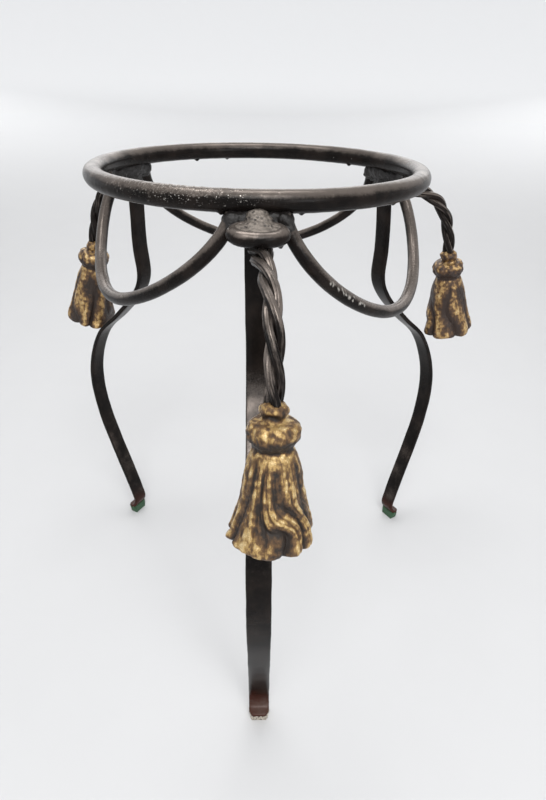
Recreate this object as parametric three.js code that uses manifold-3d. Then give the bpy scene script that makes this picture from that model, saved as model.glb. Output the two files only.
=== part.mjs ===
// Three-legged wrought iron pot stand: a round seat ring on S-bent flat bar legs, with rod swags
// between the leg tops and a twisted iron rope with a cast tassel hanging in front of each leg.
// Millimetres, +Z up, floor at Z = 0, origin in the middle of the footprint.
import * as THREE from "three";
import { ConvexGeometry } from "three/addons/geometries/ConvexGeometry.js";
import { mergeVertices } from "three/addons/utils/BufferGeometryUtils.js";
import Module from "manifold-3d";

// Seat ring
const ringOuterDiameter = 177.8;
const ringBarDiameter = 9.525;
const ringHeight = 284; // floor to the middle of the bar

// Legs
const legWidth = 11.6;
const legThickness = 2.8;
const kneeShare = 0.735; // where the straight shank turns outwards, as a share of the height
const shoulderShare = 0.415; // height of the widest point
const shoulderOut = 62.2; // widest point, outwards from the middle of the ring bar
const ankleOut = 36; // narrowest point above the toe
const toeOut = 44.5;

// Swags
const swagRodDiameter = 6.35;
const swagDrop = 51; // from the top of the rod to the middle of its lowest point
const swagEndAngle = 7.2; // from the leg, in degrees

// Rosettes
const rosetteRodDiameter = 6.35;
const rosetteWidth = 25.6;
const rosetteDepth = 17.6;
const rosetteDroop = 0.14; // how much the loop falls for each millimetre outwards

// Ropes and tassels
const strandDiameter = 3.175;
const strandCount = 3;
const ropePitch = 48;
const ropeDrop = 56.6; // from the middle of the ring bar to the top of the tassel, before its own drop
const tasselLength = 61;
const ballDiameter = 20.4;
const hemDiameter = 33.5;
const hemStandOff = 1; // between the hem and the leg behind it
const foldCount = 9;

// Foot pads
const padThickness = 2.6;
const padWidth = 10.6;

// Clearances
const gap = 0.3; // between pieces that touch
const weldGap = 0.35;

// How each leg and rope was set by hand: the leg stands further out, its foot is splayed outwards
// and leans sideways, the rosette is lifted, and the rope swings sideways, hangs lower, stands clear of
// the leg and tilts the tassel's hem outwards.
const settings = [
  ["front", -90, { outset: 0, splay: -4, lean: 2, lift: 0, swing: 6.2, drop: 2, clear: 0, tilt: 5 }],
  ["right", 30, { outset: 1.6, splay: 1.2, lean: -8, lift: 1.6, swing: -12, drop: 0.6, clear: 2, tilt: 11 }],
  ["left", 150, { outset: -1.3, splay: -2, lean: -5, lift: 0.6, swing: -10, drop: 1, clear: 1.6, tilt: 12 }],
];
const stations = settings.map(([name, angle, setting]) => ({ name, angle, ...setting }));
const swags = [
  { name: "front_left", angle: 210, turn: -4, drop: -2.5 },
  { name: "front_right", angle: 330, turn: 0.5, drop: 1.4 },
  { name: "rear", angle: 90, turn: -2, drop: 1.2 },
];

// Fits worked out from the sizes above
const ringRadius = (ringOuterDiameter - ringBarDiameter) / 2;
const ringBarRadius = ringBarDiameter / 2;
const ringUnderside = ringHeight - ringBarRadius;
const swagRadius = swagRodDiameter / 2;
const rosetteRodRadius = rosetteRodDiameter / 2;
const strandRadius = strandDiameter / 2;
const legTopOut = 1.4; // the leg's end meets the underside of the bar
const legTopHeight = ringUnderside - gap - 0.3;
const rosetteHeight = ringUnderside - rosetteRodRadius - 1.3;
const rosetteBack = ringRadius + legThickness / 2 + rosetteRodRadius + 2.4;
const ropeLay = Math.atan((2 * Math.PI * strandDiameter * 0.65) / ropePitch);
const helixRadius = (strandDiameter / Math.cos(ropeLay) + weldGap) / Math.sqrt(3);
const ropeReach = helixRadius * 1.1 + strandRadius; // how far the rope stands off its middle line
const ropeStart = rosetteHeight - rosetteRodRadius - (rosetteDroop * rosetteDepth) / 2 - ropeReach - gap;

const iron = { color: 0x2b2622, roughness: 0.5, metalness: 0.85 };
const wornIron = { color: 0x3a332d, roughness: 0.55, metalness: 0.8 };
const weldMetal = { color: 0x55493f, roughness: 0.7, metalness: 0.6 };
const goldLeaf = { color: 0x8a6a33, roughness: 0.45, metalness: 0.75 };
const felt = { color: 0x2f6b3a, roughness: 0.95, metalness: 0 };

const wasm = await Module();
wasm.setup();
const { Manifold, Mesh: SolidMesh } = wasm;

const degrees = (angle) => (angle * Math.PI) / 180;
const point = (x, y, z) => new THREE.Vector3(x, y, z);

function addPiece(group, name, geometry, look) {
  const piece = new THREE.Mesh(geometry, new THREE.MeshStandardMaterial(look));
  piece.name = name;
  group.add(piece);
  return piece;
}

// A rod or bar of one section swept along a curve, with flat ends.
function sweep(section, path, steps) {
  return new THREE.ExtrudeGeometry(section, { steps, extrudePath: path, bevelEnabled: false });
}

function circleSection(radius, sides) {
  const outline = Array.from({ length: sides }, (_, i) => {
    const angle = (i / sides) * 2 * Math.PI;
    return new THREE.Vector2(radius * Math.cos(angle), radius * Math.sin(angle));
  });
  return new THREE.Shape(outline);
}

// Flat bar with small bevelled edges.
function barSection(width, thickness, bevel) {
  const x = width / 2;
  const y = thickness / 2;
  return new THREE.Shape([
    new THREE.Vector2(-x + bevel, -y),
    new THREE.Vector2(x - bevel, -y),
    new THREE.Vector2(x, -y + bevel),
    new THREE.Vector2(x, y - bevel),
    new THREE.Vector2(x - bevel, y),
    new THREE.Vector2(-x + bevel, y),
    new THREE.Vector2(-x, y - bevel),
    new THREE.Vector2(-x, -y + bevel),
  ]);
}

function solidFrom(geometry) {
  const bare = geometry.clone();
  bare.deleteAttribute("normal");
  bare.deleteAttribute("uv");
  const merged = mergeVertices(bare, 1e-3);
  return new Manifold(
    new SolidMesh({
      numProp: 3,
      vertProperties: merged.attributes.position.array,
      triVerts: new Uint32Array(merged.index.array),
    }),
  );
}

function geometryFrom(solid) {
  const mesh = solid.getMesh();
  const geometry = new THREE.BufferGeometry();
  geometry.setAttribute("position", new THREE.BufferAttribute(mesh.vertProperties, 3));
  geometry.setIndex(new THREE.BufferAttribute(mesh.triVerts, 1));
  geometry.computeVertexNormals();
  return geometry;
}

// The room that weld metal leaves for a swept piece: a wider section, with both ends moved out.
function roomAround(section, path, steps) {
  const room = sweep(section, path, steps);
  const place = room.getAttribute("position");
  const reach = Math.max(...section.getPoints().map((corner) => corner.length())) + 0.01;
  for (const u of [0, 1]) {
    const end = path.getPointAt(u);
    const outwards = path.getTangentAt(u).multiplyScalar(u ? weldGap : -weldGap);
    for (let i = 0; i < place.count; i++) {
      const p = point(place.getX(i), place.getY(i), place.getZ(i));
      const fromEnd = p.clone().sub(end);
      if (fromEnd.length() < reach && Math.abs(fromEnd.dot(outwards)) < 1e-3) {
        place.setXYZ(i, ...p.add(outwards).toArray());
      }
    }
  }
  return solidFrom(room);
}

// The surface points of an oval lump.
function lumpPoints(x, y, z, sizeX, sizeY, sizeZ) {
  const ball = new THREE.SphereGeometry(1, 16, 8);
  ball.scale(sizeX, sizeY, sizeZ);
  ball.translate(x, y, z);
  const place = ball.getAttribute("position");
  return Array.from({ length: place.count }, (_, i) => point(place.getX(i), place.getY(i), place.getZ(i)));
}

// Weld metal bridges its lumps.
function bridged(...lumps) {
  return solidFrom(new ConvexGeometry(lumps.flat()));
}

// The middle line of a leg in its own plane: X outwards, Z up, Y sideways.
function legPath(station) {
  const knee = ringHeight * kneeShare;
  const shoulder = ringHeight * shoulderShare;
  const rise = knee - shoulder;
  const outline = [
    [legTopOut, legTopHeight],
    [3.4, ringHeight * 0.91],
    [4.6, ringHeight * 0.82],
    [4, knee + 3],
    [10, knee - 9],
    [shoulderOut * 0.46, shoulder + rise * 0.69],
    [shoulderOut * 0.75, shoulder + rise * 0.51],
    [shoulderOut * 0.945, shoulder + rise * 0.24],
    [shoulderOut, shoulder],
    [shoulderOut * 0.955, shoulder * 0.78],
    [shoulderOut * 0.845, shoulder * 0.57],
    [ankleOut + (shoulderOut - ankleOut) * 0.32, shoulder * 0.36],
    [ankleOut + 2.4, shoulder * 0.2],
    [ankleOut, padThickness + 10],
    [ankleOut + 2.9, padThickness + 4.2],
    [toeOut, padThickness + 1.9],
  ];
  const points = outline.map(([out, height]) => {
    const low = 1 - height / ringHeight;
    const outset = height < legTopHeight ? station.outset : 0;
    return point(ringRadius + out + outset + station.splay * low, station.lean * low, height);
  });
  return new THREE.CatmullRomCurve3(points, false, "centripetal");
}

// How far out the leg's middle line stands at a given height.
function legOutAt(path, height) {
  const crossings = path.getPoints(400).filter((p) => Math.abs(p.z - height) < 1);
  return Math.max(...crossings.map((p) => p.x));
}

// A felt wedge between the floor and the toe.
function padGeometry(path) {
  const steps = 6;
  const start = 0.974;
  const under = Array.from({ length: steps + 1 }, (_, i) => {
    const u = start + ((1 - start) * i) / steps;
    const p = path.getPointAt(u);
    const t = path.getTangentAt(u);
    const away = legThickness / 2 + weldGap;
    return new THREE.Vector2(p.x + t.z * away, p.z - t.x * away);
  });
  const heel = under[0];
  const toe = under[steps];
  const section = new THREE.Shape([
    new THREE.Vector2(heel.x, 0),
    new THREE.Vector2(toe.x, 0),
    ...under.slice().reverse(),
  ]);
  const side = path.getPointAt(1).y;
  const pad = new THREE.ExtrudeGeometry(section, { depth: padWidth, bevelEnabled: false });
  pad.rotateX(Math.PI / 2);
  pad.translate(0, side + padWidth / 2, 0);
  return pad;
}

// One swag in the frame of the middle between its two legs.
function swagPath(swag) {
  const end = 60 - swagEndAngle;
  const top = ringUnderside - gap - swagRadius * 0.4; // its cut end slopes a little
  const low = top - swagDrop - swag.drop;
  const bend = new THREE.CubicBezierCurve(
    new THREE.Vector2(0, low),
    new THREE.Vector2(end * 0.43, low),
    new THREE.Vector2(end * 0.9, low + swagDrop * 0.5),
    new THREE.Vector2(end, top),
  );
  const half = bend.getPoints(12).map((p) => {
    const share = p.x / end;
    const out = 1.3 + 10 * share ** 2 - 8.5 * share ** 14;
    return { turn: p.x, radius: ringRadius + out, height: p.y };
  });
  const place = ({ turn, radius, height }, side) => {
    const angle = degrees(side * turn + swag.turn * (1 - (turn / end) ** 2));
    return point(radius * Math.cos(angle), radius * Math.sin(angle), height);
  };
  const left = half.slice(1).reverse().map((p) => place(p, -1));
  const right = half.map((p) => place(p, 1));
  return new THREE.CatmullRomCurve3([...left, ...right], false, "centripetal");
}

// The bent rod of a rosette: a flat oval, open at the back where both ends meet the leg. The eye of the
// loop is an ellipse, and the rod lies around it.
function rosettePath(station) {
  const bend = rosetteRodRadius + weldGap;
  const eyeWidth = rosetteWidth / 2 - rosetteRodRadius - bend;
  const eyeDepth = rosetteDepth / 2 - rosetteRodRadius - bend;
  const points = Array.from({ length: 15 }, (_, i) => {
    const angle = degrees(-152 + (304 * i) / 14);
    const normal = new THREE.Vector2(eyeWidth * Math.cos(angle), eyeDepth * Math.sin(angle)).normalize();
    const out = eyeDepth * (1 + Math.cos(angle)) + bend * (1 + normal.x);
    const side = eyeWidth * Math.sin(angle) + bend * normal.y;
    return point(rosetteBack + out, side, rosetteHeight + station.lift - rosetteDroop * out);
  });
  return new THREE.CatmullRomCurve3(points, false, "centripetal");
}

// The rope's middle line runs from under the rosette outwards and then down to the tassel.
function ropePath(station, knobTop, axis) {
  const start = point(rosetteBack + 1.5, 0, ropeStart + station.lift);
  const reach = knobTop.x - start.x;
  return new THREE.CubicBezierCurve3(
    start,
    point(start.x + reach * 0.66, station.swing * 0.9, start.z - 0.5 + station.lift),
    knobTop.clone().addScaledVector(axis, -reach * 0.62),
    knobTop,
  );
}

// One strand of the rope: a left-hand helix that fans out where it is welded on.
function strandPath(rope, index) {
  const length = rope.getLength();
  const steps = 40;
  const points = Array.from({ length: steps + 1 }, (_, i) => {
    const u = i / steps;
    const fan = Math.exp(-(((u * length) / 9) ** 2));
    const angle = degrees(30 + (360 / strandCount) * index) - (2 * Math.PI * u * length) / ropePitch;
    const along = rope.getTangentAt(u);
    const side = point(0, 1, 0).addScaledVector(along, -along.y).normalize();
    const lift = along.clone().cross(side);
    return rope
      .getPointAt(u)
      .addScaledVector(side, helixRadius * (1 + 1.1 * fan) * Math.cos(angle))
      .addScaledVector(lift, helixRadius * (1 + 0.1 * fan) * Math.sin(angle));
  });
  return new THREE.CatmullRomCurve3(points, false, "centripetal");
}

// The casting stands on its own axis: knob on top at Z = 0, ball, neck, then the folded skirt.
function tasselGeometry() {
  const ball = ballDiameter / 2;
  const hem = hemDiameter / 2;
  const ballMiddle = 12.4;
  const profile = [
    [0, 0],
    [2.9, 0.4],
    [5, 2.3],
    [5.3, 4.6],
    [4.6, 7],
    [ball * 0.72, ballMiddle - 4.4],
    [ball * 0.94, ballMiddle - 2.4],
    [ball, ballMiddle],
    [ball * 0.93, ballMiddle + 2.8],
    [ball * 0.77, ballMiddle + 5.4],
    [ball * 0.84, ballMiddle + 7.6],
    [hem * 0.63, tasselLength * 0.42],
    [hem * 0.74, tasselLength * 0.58],
    [hem * 0.84, tasselLength * 0.74],
    [hem * 0.98, tasselLength * 0.88],
    [hem, tasselLength * 0.95],
    [hem * 0.88, tasselLength],
    [hem * 0.4, tasselLength - 2.5],
    [0, tasselLength - 3],
  ];
  const outline = profile.map(([r, down]) => new THREE.Vector2(r, -down)).reverse();
  const casting = new THREE.LatheGeometry(outline, foldCount * 4);
  casting.rotateX(Math.PI / 2);
  const place = casting.getAttribute("position");
  const skirtTop = ballMiddle + 6.5;
  for (let i = 0; i < place.count; i++) {
    const p = point(place.getX(i), place.getY(i), place.getZ(i));
    const down = Math.max(0, (-p.z - skirtTop) / (tasselLength - skirtTop));
    const around = Math.atan2(p.y, p.x) + degrees(22) * down ** 2;
    const fold = 1 + 0.075 * Math.sqrt(down) * Math.cos(foldCount * around) - 0.03 * down;
    place.setXYZ(i, p.x * fold, p.y * fold, p.z);
  }
  return casting;
}

// Weld metal has its neighbours cut out of it. Crumbs cut loose are dropped.
function cutAway(lump, neighbours) {
  const rest = neighbours.reduce((left, neighbour) => left.subtract(neighbour), lump);
  return rest.decompose().sort((a, b) => b.volume() - a.volume())[0];
}

const stand = new THREE.Group();
stand.name = "pot_stand";

const ringGeometry = (radius) => {
  const ring = new THREE.TorusGeometry(ringRadius, radius, 12, 64);
  ring.translate(0, 0, ringHeight);
  return ring;
};
addPiece(stand, "top_ring", ringGeometry(ringBarRadius), iron);

const swagRooms = [];
for (const swag of swags) {
  const frame = new THREE.Group();
  frame.rotation.z = degrees(swag.angle);
  stand.add(frame);
  const path = swagPath(swag);
  addPiece(frame, `swag_${swag.name}`, sweep(circleSection(swagRadius, 8), path, 34), wornIron);
  const room = roomAround(circleSection(swagRadius + weldGap, 8), path, 34);
  swagRooms.push(room.rotate([0, 0, swag.angle]));
}

for (const station of stations) {
  const frame = new THREE.Group();
  frame.rotation.z = degrees(station.angle);
  stand.add(frame);

  const path = legPath(station);
  addPiece(frame, `leg_${station.name}`, sweep(barSection(legWidth, legThickness, 0.6), path, 60), iron);
  addPiece(frame, `pad_${station.name}`, padGeometry(path), felt);

  const loop = rosettePath(station);
  const loopGeometry = sweep(circleSection(rosetteRodRadius, 8), loop, 24);
  addPiece(frame, `rosette_${station.name}`, loopGeometry, wornIron);

  const neighbours = [
    solidFrom(ringGeometry(ringBarRadius + weldGap)),
    roomAround(barSection(legWidth + weldGap * 2, legThickness + weldGap * 2, 0.6), path, 60),
    roomAround(circleSection(rosetteRodRadius + weldGap, 8), loop, 24),
    ...swagRooms.map((swag) => swag.rotate([0, 0, -station.angle])),
  ];
  const split = ringRadius + 5.6;
  const fillMiddle = rosetteBack + rosetteDepth / 2 - rosetteRodRadius;
  const fill = bridged(
    lumpPoints(fillMiddle, 0, rosetteHeight + station.lift, rosetteDepth * 0.36, rosetteWidth * 0.37, 3),
    lumpPoints(split + 1.4, 0, ringUnderside - 0.6, 2.6, rosetteWidth * 0.2, 3.2),
  ).trimByPlane([1, 0, 0], split + weldGap / 2);
  const fillSolid = cutAway(fill, neighbours);
  addPiece(frame, `rosette_fill_${station.name}`, geometryFrom(fillSolid), weldMetal);

  const reach = (ringRadius + 2) * Math.sin(degrees(swagEndAngle));
  const weldSize = swagRadius + 2.2;
  const weld = bridged(
    lumpPoints(ringRadius + 1.6, -reach, ringUnderside - 4.4, weldSize, weldSize, 4.6),
    lumpPoints(ringRadius + 1.2, 0, ringUnderside - 5, weldSize, weldSize, 5.4),
    lumpPoints(ringRadius + 1.6, reach, ringUnderside - 4.4, weldSize, weldSize, 4.6),
  ).trimByPlane([-1, 0, 0], -(split - weldGap / 2));
  addPiece(frame, `joint_weld_${station.name}`, geometryFrom(cutAway(weld, neighbours)), weldMetal);

  const tilt = degrees(station.tilt);
  const axis = point(Math.sin(tilt), 0, -Math.cos(tilt));
  const knobHeight = ringHeight - ropeDrop - station.drop;
  const hemHeight = knobHeight + tasselLength * axis.z;
  const legFace = legOutAt(path, hemHeight) + legThickness / 2;
  const hemOut = legFace + hemDiameter / 2 + hemStandOff + station.clear;
  const knobTop = point(hemOut - tasselLength * axis.x, station.swing, knobHeight);
  const rope = ropePath(station, knobTop.clone().addScaledVector(axis, -gap - 0.2), axis);
  for (let i = 0; i < strandCount; i++) {
    const strand = sweep(circleSection(strandRadius, 6), strandPath(rope, i), 30);
    addPiece(frame, `strand_${station.name}_${"abc"[i]}`, strand, wornIron);
  }

  const tassel = addPiece(frame, `tassel_${station.name}`, tasselGeometry(), goldLeaf);
  tassel.position.copy(knobTop);
  tassel.rotation.y = -tilt;
}

// The origin is the middle of the footprint, on the floor.
stand.updateMatrixWorld(true);
const middle = new THREE.Box3().setFromObject(stand, true).getCenter(point(0, 0, 0));
stand.position.set(-middle.x, -middle.y, 0);

export default stand;
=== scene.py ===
import math
import random

import bmesh
import bpy
import numpy as np
from mathutils import Matrix, Vector, noise


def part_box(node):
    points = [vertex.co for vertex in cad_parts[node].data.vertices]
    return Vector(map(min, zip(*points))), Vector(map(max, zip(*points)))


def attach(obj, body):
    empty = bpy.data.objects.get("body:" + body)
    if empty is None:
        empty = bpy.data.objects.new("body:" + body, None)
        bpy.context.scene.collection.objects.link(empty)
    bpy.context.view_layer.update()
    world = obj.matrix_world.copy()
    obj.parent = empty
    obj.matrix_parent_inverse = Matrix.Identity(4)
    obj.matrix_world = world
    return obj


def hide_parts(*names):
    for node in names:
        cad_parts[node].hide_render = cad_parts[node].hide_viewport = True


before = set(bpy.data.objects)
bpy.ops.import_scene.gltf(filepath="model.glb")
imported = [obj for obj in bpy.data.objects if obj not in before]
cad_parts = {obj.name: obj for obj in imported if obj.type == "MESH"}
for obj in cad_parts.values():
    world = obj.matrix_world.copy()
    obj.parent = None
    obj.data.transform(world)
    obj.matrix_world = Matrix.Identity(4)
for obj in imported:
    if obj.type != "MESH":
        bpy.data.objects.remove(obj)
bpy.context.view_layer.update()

mm = 0.001
random.seed(7)
stand = {
    "body": "root",
    "gap": 0.3,          # between pieces, in millimetres
    "weldGap": 0.35,
}

# The seat ring gives the axis that everything else is set around.
ringLow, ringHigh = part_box("top_ring")
barRadius = (ringHigh.z - ringLow.z) / 2 / mm
ringRadius = (ringHigh.x - ringLow.x) / 2 / mm - barRadius
ringHeight = (ringHigh.z + ringLow.z) / 2 / mm
ringX = (ringHigh.x + ringLow.x) / 2 / mm
ringY = (ringHigh.y + ringLow.y) / 2 / mm
ringUnderside = ringHeight - barRadius

# How each corner was set, in millimetres and degrees. Outset, splay and lean place the leg,
# lift raises the rosette, and swing, drop, clear and tilt hang the tassel. Turn says which side of
# the casting shows, and folds, strips and tarnish how it is cast and worn.
stations = [
    {"name": "front", "angle": -90, "outset": 0, "splay": -4, "lean": 2, "lift": 0, "swing": 6.2,
     "drop": 2, "clear": 0, "tilt": 5, "turn": 0, "folds": 9, "strips": 1.0, "tarnish": 0.0},
    {"name": "right", "angle": 30, "outset": 1.6, "splay": 1.2, "lean": -8, "lift": 1.6, "swing": -12,
     "drop": 0.6, "clear": 2, "tilt": 11, "turn": 130, "folds": 6, "strips": 0.35, "tarnish": 0.5},
    {"name": "left", "angle": 150, "outset": -1.3, "splay": -2, "lean": -5, "lift": 0.6, "swing": -10,
     "drop": 1, "clear": 1.6, "tilt": 12, "turn": 215, "folds": 6, "strips": 0.4, "tarnish": 0.3},
]
# Each swag's own turn off the middle between two legs, and how much lower it hangs.
swags = [
    {"name": "front_left", "angle": 210, "turn": -4, "drop": -2.5},
    {"name": "front_right", "angle": 330, "turn": 0.5, "drop": 1.4},
    {"name": "rear", "angle": 90, "turn": -2, "drop": 1.2},
]


class Flow:
    # One output socket of a material. Sums on it add Math nodes.
    def __init__(self, tree, socket=None):
        self.tree = tree
        self.socket = socket

    def make(self, kind, settings=None, sockets=None, out=0):
        node = self.tree.nodes.new("ShaderNode" + kind)
        for key, value in (settings or {}).items():
            setattr(node, key, value)
        for key, value in (sockets or {}).items():
            if isinstance(value, Flow):
                self.tree.links.new(value.socket, node.inputs[key])
            else:
                node.inputs[key].default_value = value
        return Flow(self.tree, node.outputs[out])

    def sum(self, operation, first, second):
        return self.make("Math", {"operation": operation}, {0: first, 1: second})

    def __add__(self, other):
        return self.sum("ADD", self, other)

    def __sub__(self, other):
        return self.sum("SUBTRACT", self, other)

    def __rsub__(self, other):
        return self.sum("SUBTRACT", other, self)

    def __mul__(self, other):
        return self.sum("MULTIPLY", self, other)

    def __pow__(self, other):
        return self.sum("POWER", self, other)

    __radd__ = __add__
    __rmul__ = __mul__

    def between(self, low, high):
        sockets = {"Value": self, "From Min": low, "From Max": high}
        return self.make("MapRange", {"clamp": True, "interpolation_type": "SMOOTHSTEP"}, sockets)

    def noise(self, size, detail=4, roughness=0.6, stretch=None, vector=None):
        # Cloudy noise from 0 to 1, with its size in millimetres.
        place = vector or self.make("TexCoord", out="Object")
        if stretch:
            place = self.make("VectorMath", {"operation": "MULTIPLY"}, {0: place, 1: stretch})
        sockets = {"Vector": place, "Scale": 1 / (size * mm), "Detail": detail, "Roughness": roughness}
        return self.make("TexNoise", sockets=sockets)

    def mix(self, share, first, second):
        # The node's colours are its sockets 6 and 7, and output 2.
        node = {"data_type": "RGBA", "clamp_factor": True}
        return self.make("Mix", node, {"Factor": share, 6: colour(first), 7: colour(second)}, out=2)

    def attribute(self, name):
        return self.make("Attribute", {"attribute_name": name}, out="Fac")


def colour(value):
    return value if isinstance(value, Flow) else (*value, 1)


def newMaterial(name, **fixed):
    material = bpy.data.materials.new(name)
    material.use_nodes = True
    tree = material.node_tree
    shader = tree.nodes["Principled BSDF"]
    for key, value in fixed.items():
        shader.inputs[key.replace("_", " ")].default_value = value
    return material, Flow(tree), shader


def plug(flow, shader, **links):
    for key, value in links.items():
        flow.tree.links.new(value.socket, shader.inputs[key.replace("_", " ")])


def raised(flow, height, distance, strength=1.0):
    return flow.make("Bump", sockets={"Height": height, "Distance": distance * mm, "Strength": strength})


def upwards(flow, vector):
    return flow.make("SeparateXYZ", sockets={0: vector}, out="Z")


def facingUp(flow):
    return upwards(flow, flow.make("NewGeometry", out="Normal"))


def heightAbove(flow):
    # Height above the floor, in metres.
    return upwards(flow, flow.make("TexCoord", out="Object"))


ironLook = {
    "lacquer": (0.0050, 0.0040, 0.0036),
    "mottle": (0.0150, 0.0110, 0.0092),
    # brown-grey of worn iron, also painted on as sheen where the bars face up
    "rubbedAndSheen": (0.240, 0.203, 0.178),
    # near-white of bare specks, painted on as glints
    "glintColour": (0.760, 0.720, 0.660),
    "rust": (0.055, 0.015, 0.009),
    "rustTop": 26,       # the lowest part of the legs has gone red-brown
    "rustShare": 0.85,
    "broadSize": 13,     # patches, grit and fine grain, in millimetres
    "gritSize": 0.9,
    "fineSize": 0.28,
    "speckSize": 0.55,
    "streakWidth": 1.1,  # streaks along a strand: how fast they change around it and along it
    "streakRun": 0.06,
}


def ironMaterial(name, worn, roughness, streaks=0.0):
    # Black lacquer, worn through to brown-grey iron, and that brown-grey also painted on as a sheen where
    # the bar faces up.
    look = ironLook
    material, flow, shader = newMaterial(name, IOR=1.4, Specular_IOR_Level=0.14)
    broad = flow.noise(look["broadSize"], detail=3)
    grit = flow.noise(look["gritSize"], detail=5, roughness=0.7)
    fine = flow.noise(look["fineSize"], detail=3, roughness=0.7)
    # Painted sheen: faces turned up, and less so the sides, get the lighter brown-grey, along with real
    # wear.
    top = facingUp(flow).between(-0.45, 0.95)
    rough = flow.attribute("spatter")
    wearAndSheen = top + (broad - 0.5) * 0.65 + (grit - 0.5) * 0.45 + rough * 0.3 + worn
    wearAndSheen = wearAndSheen.between(0.40, 1.25)
    if streaks:
        across = flow.attribute("around") * look["streakWidth"] * mm
        run = flow.attribute("along") * look["streakRun"] * mm
        place = flow.make("CombineXYZ", sockets={0: across, 1: run})
        wearAndSheen = (wearAndSheen + (flow.noise(1.0, detail=3, vector=place) - 0.5) * streaks).between(0.0, 1.0)
    # Painted glints: bright bare specks near the ring's spatter and on the tallest drops.
    specks = flow.noise(look["speckSize"], detail=2, roughness=0.5).between(0.645, 0.70)
    bareGlint = (specks * flow.attribute("glintSpots") + flow.attribute("bare") * (grit + 0.2)).between(0, 1)
    height = heightAbove(flow) * 1000 + broad * 14 - 7
    low = (1 - height.between(4, look["rustTop"])) * look["rustShare"]
    wearAndSheen = wearAndSheen * (1 - low)
    body = flow.mix(broad.between(0.35, 0.7), look["lacquer"], look["mottle"])
    body = flow.mix(low, body, look["rust"])
    body = flow.mix(wearAndSheen * 0.9, body, look["rubbedAndSheen"])
    plug(
        flow, shader,
        Base_Color=flow.mix(bareGlint, body, look["glintColour"]),
        Metallic=(wearAndSheen * 0.75 + bareGlint).between(0, 1),
        Roughness=roughness + grit * 0.14 + rough * 0.1,
        Normal=raised(flow, grit * 0.6 + fine * 0.35 + broad * 0.5, 0.12, 0.45),
    )
    return material


weldLook = {
    "dark": (0.008, 0.0065, 0.006),
    # light colour of bare weld metal, also painted on as highlight where it faces up
    "bare": (0.235, 0.203, 0.175),
    "gritSize": 1.3,
    "fineSize": 0.35,
}


def weldMaterial(name, bareShare):
    # Rough weld metal: bare, with a painted highlight, where it faces up, and dark in its pits.
    look = weldLook
    material, flow, shader = newMaterial(name, IOR=1.45)
    grit = flow.noise(look["gritSize"], detail=6, roughness=0.75)
    fine = flow.noise(look["fineSize"], detail=4, roughness=0.7)
    # Painted highlight: faces turned up are laid on light, along with bare metal.
    top = facingUp(flow).between(-0.2, 1.0)
    pits = flow.attribute("pits")
    bare = (top * 0.9 + (grit - 0.5) * 1.3 + (fine - 0.5) * 0.6 + bareShare).between(0.45, 1.2)
    bare = bare * (1 - pits * 0.9)
    plug(
        flow, shader,
        Base_Color=flow.mix(bare, look["dark"], look["bare"]),
        Metallic=bare * 0.75,
        Roughness=0.52 - fine * 0.25 + pits * 0.2,
        Normal=raised(flow, grit + fine * 0.6, 0.32, 0.7),
    )
    return material


goldLook = {
    # near-black ground, left in the grooves as patina and painted shade
    "ground": (0.016, 0.009, 0.005),
    "bronze": (0.120, 0.060, 0.020),
    "gold": (0.500, 0.325, 0.120),
    "brown": (0.045, 0.020, 0.012),
    "redGold": (0.360, 0.200, 0.090),
    # near-white gold painted on the brightest crests as highlight
    "paintedHighlight": (0.860, 0.690, 0.400),
    "speckleSize": 0.8,
    "patchSize": 6.5,
    "fineSize": 0.3,
}


def goldMaterial(name):
    # Gold rubbed over a near-black ground: gold on the crests and dark in the grooves, as patina and painted
    # shade, with a painted highlight on the brightest crests.
    look = goldLook
    material, flow, shader = newMaterial(name, IOR=1.5)
    relief = flow.attribute("relief")
    speckle = flow.noise(look["speckleSize"], detail=5, roughness=0.75, stretch=(1, 1, 0.45))
    patches = flow.noise(look["patchSize"], detail=3)
    fine = flow.noise(look["fineSize"], detail=3, roughness=0.7)
    # Painted light: faces turned up take more gold.
    top = facingUp(flow).between(-0.7, 0.9)
    tarnish = flow.attribute("tarnish")
    # Gold follows the crests, so the grooves stay dark: patina and painted shade.
    leaf = relief**1.7 * 1.55 + (speckle - 0.5) * 1.7 + (patches - 0.5) * (1.2 + tarnish) + top * 0.2
    leaf = leaf - tarnish * 0.35 - 0.10
    bronze = leaf.between(0.35, 1.05)
    gold = leaf.between(0.95, 1.50)
    paintedHighlight = leaf.between(1.30, 1.90)
    body = flow.mix(bronze, look["ground"], look["bronze"])
    body = flow.mix(gold, body, look["gold"])
    body = flow.mix(tarnish * 0.7, body, flow.mix(gold, look["brown"], look["redGold"]))
    plug(
        flow, shader,
        Base_Color=flow.mix(paintedHighlight * 0.7, body, look["paintedHighlight"]),
        Metallic=gold * 0.5 + 0.1,
        Roughness=0.42 - gold * 0.20 + fine * 0.1,
        Normal=raised(flow, speckle * 0.8 + fine * 0.5, 0.34, 0.9),
    )
    return material


feltLook = {
    "green": (0.012, 0.090, 0.024),
    "deep": (0.005, 0.036, 0.010),
    "glue": (0.480, 0.430, 0.350),
    "dirt": (0.070, 0.050, 0.035),
    "fibreSize": 0.5,
    "dirtSize": 1.1,
}


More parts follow.
